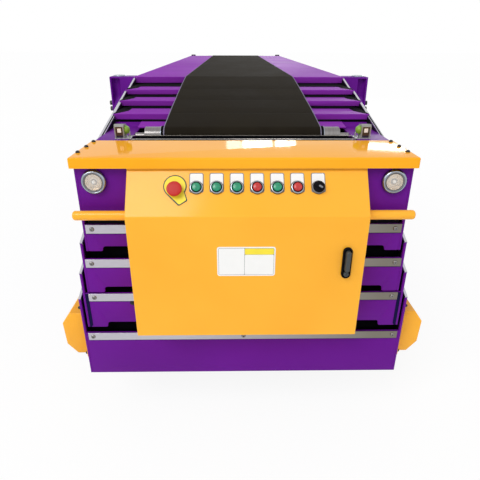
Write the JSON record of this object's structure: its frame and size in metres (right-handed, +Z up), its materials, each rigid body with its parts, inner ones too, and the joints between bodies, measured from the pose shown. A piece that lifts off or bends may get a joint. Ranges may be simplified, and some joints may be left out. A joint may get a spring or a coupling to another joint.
{
  "type": "mobile telescopic belt conveyor",
  "caption": "Mobile belt conveyor with nested telescopic booms, a hinged control cabinet on its nose, corner jack legs, and swivel and fixed wheels under a box-shaped base.",
  "frame": {"origin": "on the floor under the middle of the machine's length and width, with the booms in", "axes": "+Z up; the nose with the control cabinet looks along -Y; +X is to the right of someone who looks at the nose"},
  "size_m": [1.546, 5.457, 1.267],
  "materials": {
    "purple_paint": "gloss enamel on folded steel sheet",
    "yellow_paint": "gloss powder coat on folded steel sheet",
    "belt_rubber": "smooth black conveyor belt",
    "black_roller": "black coated rollers and slide pads",
    "chrome_roller": "ground and chromed roller",
    "aluminium_bar": "anodised bar",
    "black_frame": "black chassis paint",
    "zinc_steel": "zinc plated steel",
    "wheel_tread": "solid tyre on a pressed wheel",
    "sensor_housing": "moulded housing in a steel bracket",
    "lamp_ring": "bright ring around a clear glass",
    "galvanised_plate": "galvanised mounting plate",
    "red_button": "moulded mushroom head on a yellow plate",
    "button_parts": "moulded lenses in grey bezels on white plates",
    "black_plastic": "moulded black plastic",
    "white_plate": "blank white plate"
  },
  "bodies": {
    "base": {"base_belt": "belt_rubber", "base_deck": "purple_paint", "base_floor_pan": "purple_paint", "base_front_plate": "purple_paint", "base_roller": "black_roller", "base_wall_left": "purple_paint", "base_wall_right": "purple_paint", "chassis_frame": "black_frame", "corner_column_left": "purple_paint", "corner_column_right": "purple_paint", "rear_axle": "black_frame", "rear_plate": "purple_paint", "side_guard_left": "yellow_paint", "side_guard_right": "yellow_paint", "tail_bearings": "black_frame", "tail_pulley": "chrome_roller"},
    "boom_1": {"boom_1_belt": "belt_rubber", "boom_1_deck": "purple_paint", "boom_1_floor_pan": "purple_paint", "boom_1_front_plate": "purple_paint", "boom_1_running_gear": "black_roller", "boom_1_wall_left": "purple_paint", "boom_1_wall_right": "purple_paint"},
    "boom_2": {"boom_2_belt": "belt_rubber", "boom_2_deck": "purple_paint", "boom_2_floor_pan": "purple_paint", "boom_2_front_plate": "purple_paint", "boom_2_running_gear": "black_roller", "boom_2_wall_left": "purple_paint", "boom_2_wall_right": "purple_paint"},
    "boom_3": {"boom_3_belt": "belt_rubber", "boom_3_deck": "purple_paint", "boom_3_floor_pan": "purple_paint", "boom_3_front_plates": "purple_paint", "boom_3_running_gear": "black_roller", "boom_3_wall_left": "purple_paint", "boom_3_wall_right": "purple_paint", "bump_bar": "yellow_paint", "cabinet_box": "yellow_paint", "electrical_panel": "galvanised_plate", "headlamps": "lamp_ring", "lip_cover": "yellow_paint", "nose_roller": "chrome_roller", "photo_sensors": "sensor_housing", "side_shelves": "purple_paint", "transfer_bars": "aluminium_bar"},
    "door": {"cabinet_door": "yellow_paint", "emergency_stop": "red_button", "lock_handle": "black_plastic", "push_buttons": "button_parts", "selector_switch": "black_plastic", "sign_plate": "white_plate"},
    "castor_left": {"castor_fork_left": "zinc_steel"},
    "castor_right": {"castor_fork_right": "zinc_steel"},
    "front_wheel_left": {"front_wheel_left": "wheel_tread"},
    "front_wheel_right": {"front_wheel_right": "wheel_tread"},
    "jack_leg_left": {"jack_leg_left": "zinc_steel"},
    "jack_leg_right": {"jack_leg_right": "zinc_steel"},
    "rear_wheel_left": {"rear_wheel_left": "wheel_tread"},
    "rear_wheel_right": {"rear_wheel_right": "wheel_tread"}
  },
  "joints": [
    {"name": "boom_1_slide", "type": "slide", "parent": "base", "child": "boom_1", "axis": [0, -1, 0], "range_m": [0, 3]},
    {"name": "boom_2_slide", "type": "slide", "parent": "boom_1", "child": "boom_2", "axis": [0, -1, 0], "range_m": [0, 3]},
    {"name": "boom_3_slide", "type": "slide", "parent": "boom_2", "child": "boom_3", "axis": [0, -1, 0], "range_m": [0, 3]},
    {"name": "cabinet_door_hinge", "type": "hinge", "parent": "boom_3", "child": "door", "pos_m": [-0.3765, -2.6985, 0.785], "axis": [0, 0, -1], "range_deg": [0, 105]},
    {"name": "castor_left_swivel", "type": "hinge", "parent": "base", "child": "castor_left", "pos_m": [-0.43, -1.9165, 0.22], "axis": [0, 0, 1], "continuous": true},
    {"name": "front_wheel_left_spin", "type": "hinge", "parent": "castor_left", "child": "front_wheel_left", "pos_m": [-0.43, -1.8715, 0.1], "axis": [1, 0, 0], "continuous": true},
    {"name": "rear_wheel_left_spin", "type": "hinge", "parent": "base", "child": "rear_wheel_left", "pos_m": [-0.43, 1.8835, 0.1], "axis": [1, 0, 0], "continuous": true},
    {"name": "jack_leg_left_slide", "type": "slide", "parent": "base", "child": "jack_leg_left", "axis": [0, 0, -1], "range_m": [0, 0.095]},
    {"name": "castor_right_swivel", "type": "hinge", "parent": "base", "child": "castor_right", "pos_m": [0.43, -1.9165, 0.22], "axis": [0, 0, 1], "continuous": true},
    {"name": "front_wheel_right_spin", "type": "hinge", "parent": "castor_right", "child": "front_wheel_right", "pos_m": [0.43, -1.8715, 0.1], "axis": [1, 0, 0], "continuous": true},
    {"name": "rear_wheel_right_spin", "type": "hinge", "parent": "base", "child": "rear_wheel_right", "pos_m": [0.43, 1.8835, 0.1], "axis": [1, 0, 0], "continuous": true},
    {"name": "jack_leg_right_slide", "type": "slide", "parent": "base", "child": "jack_leg_right", "axis": [0, 0, -1], "range_m": [0, 0.095]}
  ],
  "couplings": [
    {"joint": "boom_2_slide", "follows": "boom_1_slide", "ratio": 1},
    {"joint": "boom_3_slide", "follows": "boom_1_slide", "ratio": 1}
  ]
}
